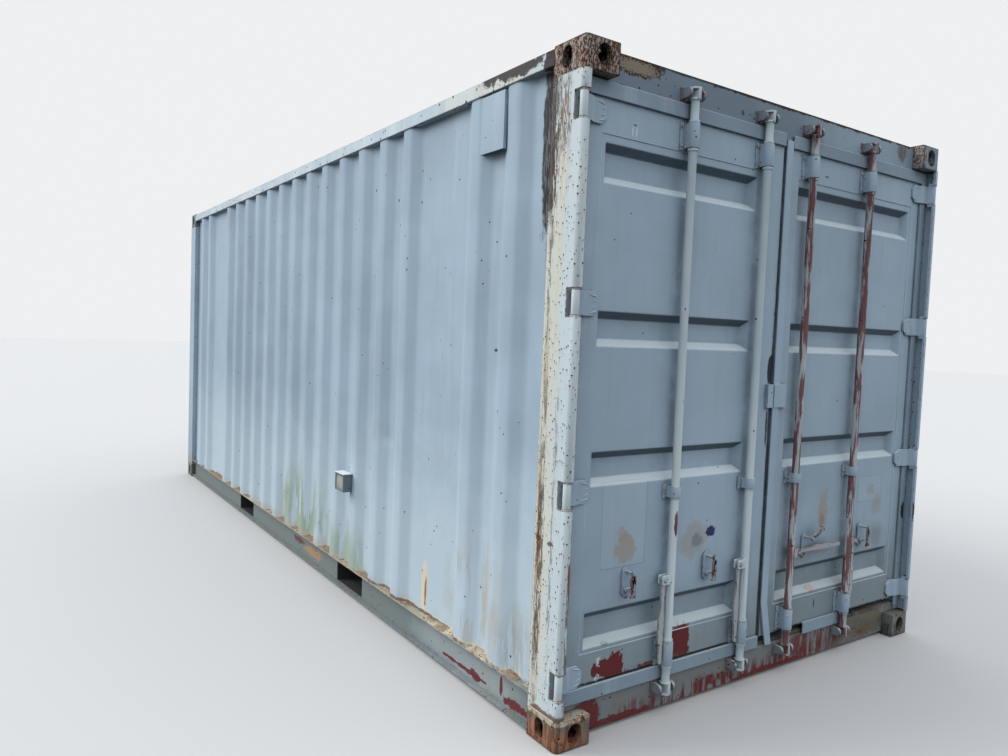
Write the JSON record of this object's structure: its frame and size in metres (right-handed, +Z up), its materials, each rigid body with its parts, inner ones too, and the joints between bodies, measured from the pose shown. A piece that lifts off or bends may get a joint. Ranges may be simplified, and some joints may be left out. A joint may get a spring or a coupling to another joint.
{
  "type": "shipping container",
  "caption": "Steel dry freight container with corrugated walls, hinged end doors, cam lock rods, fork pockets and slotted corner castings.",
  "frame": {"origin": "on the ground under the middle of the container, midway between the bottom apertures of the four lower corner castings", "axes": "+X along the length towards the doors, +Y across the width to the right of someone facing the doors, +Z up"},
  "size_m": [6.058, 2.488, 2.591],
  "materials": {
    "grey_paint": "weathered satin paint",
    "faded_paint": "chalky faded paint",
    "rusty_casting": "rusty with worn paint",
    "primer": "worn paint over red primer",
    "underframe": "dull dark coating",
    "plywood": "worn floor boards",
    "lamp_grey": "weathered grey enamel"
  },
  "bodies": {
    "root": {"bottom_castings": "rusty_casting", "top_castings": "rusty_casting", "left_door_post": "faded_paint", "right_door_post": "grey_paint", "hinge_pins": "rusty_casting", "front_posts": "grey_paint", "door_header": "grey_paint", "door_sill": "grey_paint", "cam_keepers": "grey_paint", "top_side_rails": "grey_paint", "bottom_side_rails": "grey_paint", "front_top_rail": "grey_paint", "front_bottom_rail": "grey_paint", "left_wall": "grey_paint", "right_wall": "grey_paint", "front_wall": "grey_paint", "roof_panel": "grey_paint", "floor_boards": "plywood", "cross_members": "underframe", "fork_pockets": "underframe", "ventilators": "grey_paint", "wall_lamp": "lamp_grey"},
    "left_door": {"left_door_frame": "grey_paint", "left_door_panel": "grey_paint", "left_door_seal": "faded_paint", "left_door_hinges": "grey_paint", "left_lock_brackets": "grey_paint"},
    "right_door": {"right_door_frame": "grey_paint", "right_door_panel": "grey_paint", "right_door_seal": "faded_paint", "right_door_hinges": "grey_paint", "right_lock_brackets": "grey_paint", "centre_strip": "faded_paint"},
    "lock_rod_1": {"lock_rod_1": "grey_paint"},
    "lock_rod_2": {"lock_rod_2": "grey_paint"},
    "lock_rod_3": {"lock_rod_3": "primer"},
    "lock_rod_4": {"lock_rod_4": "primer"},
    "handle_1": {"handle_1": "grey_paint"},
    "handle_2": {"handle_2": "grey_paint"},
    "handle_3": {"handle_3": "grey_paint"},
    "handle_4": {"handle_4": "grey_paint"},
    "catch_1": {"catch_1": "rusty_casting"},
    "catch_2": {"catch_2": "rusty_casting"},
    "catch_3": {"catch_3": "rusty_casting"},
    "catch_4": {"catch_4": "rusty_casting"}
  },
  "joints": [
    {"name": "left_door_hinge", "type": "hinge", "parent": "root", "child": "left_door", "pos_m": [3.01, -1.201, 0.955], "axis": [0, 0, -1], "range_deg": [0, 262]},
    {"name": "right_door_hinge", "type": "hinge", "parent": "root", "child": "right_door", "pos_m": [3.01, 1.201, 0.955], "axis": [0, 0, 1], "range_deg": [0, 262]},
    {"name": "lock_rod_1_turn", "type": "hinge", "parent": "left_door", "child": "lock_rod_1", "pos_m": [3.003, -0.631, 1.3], "axis": [0, 0, -1], "range_deg": [-100, 0]},
    {"name": "lock_rod_2_turn", "type": "hinge", "parent": "left_door", "child": "lock_rod_2", "pos_m": [3.003, -0.165, 1.3], "axis": [0, 0, -1], "range_deg": [-100, 0]},
    {"name": "lock_rod_3_turn", "type": "hinge", "parent": "right_door", "child": "lock_rod_3", "pos_m": [3.003, 0.165, 1.3], "axis": [0, 0, 1], "range_deg": [-100, 0]},
    {"name": "lock_rod_4_turn", "type": "hinge", "parent": "right_door", "child": "lock_rod_4", "pos_m": [3.003, 0.631, 1.3], "axis": [0, 0, 1], "range_deg": [-100, 0]},
    {"name": "handle_1_lift", "type": "hinge", "parent": "lock_rod_1", "child": "handle_1", "pos_m": [3.003, -0.673, 0.567], "axis": [-1, 0, 0], "range_deg": [0, 98]},
    {"name": "handle_2_lift", "type": "hinge", "parent": "lock_rod_2", "child": "handle_2", "pos_m": [3.003, -0.207, 0.567], "axis": [-1, 0, 0], "range_deg": [0, 98]},
    {"name": "handle_3_lift", "type": "hinge", "parent": "lock_rod_3", "child": "handle_3", "pos_m": [3.003, 0.207, 0.567], "axis": [1, 0, 0], "range_deg": [-90, 8]},
    {"name": "handle_4_lift", "type": "hinge", "parent": "lock_rod_4", "child": "handle_4", "pos_m": [3.003, 0.673, 0.567], "axis": [1, 0, 0], "range_deg": [0, 98]},
    {"name": "catch_1_swing", "type": "hinge", "parent": "left_door", "child": "catch_1", "pos_m": [3.016, -0.85, 0.62], "axis": [1, 0, 0], "range_deg": [0, 110]},
    {"name": "catch_2_swing", "type": "hinge", "parent": "left_door", "child": "catch_2", "pos_m": [3.016, -0.381, 0.62], "axis": [1, 0, 0], "range_deg": [0, 110]},
    {"name": "catch_3_swing", "type": "hinge", "parent": "right_door", "child": "catch_3", "pos_m": [3.016, 0.312, 0.62], "axis": [1, 0, 0], "range_deg": [-120, 0]},
    {"name": "catch_4_swing", "type": "hinge", "parent": "right_door", "child": "catch_4", "pos_m": [3.016, 0.787, 0.62], "axis": [1, 0, 0], "range_deg": [0, 110]}
  ]
}
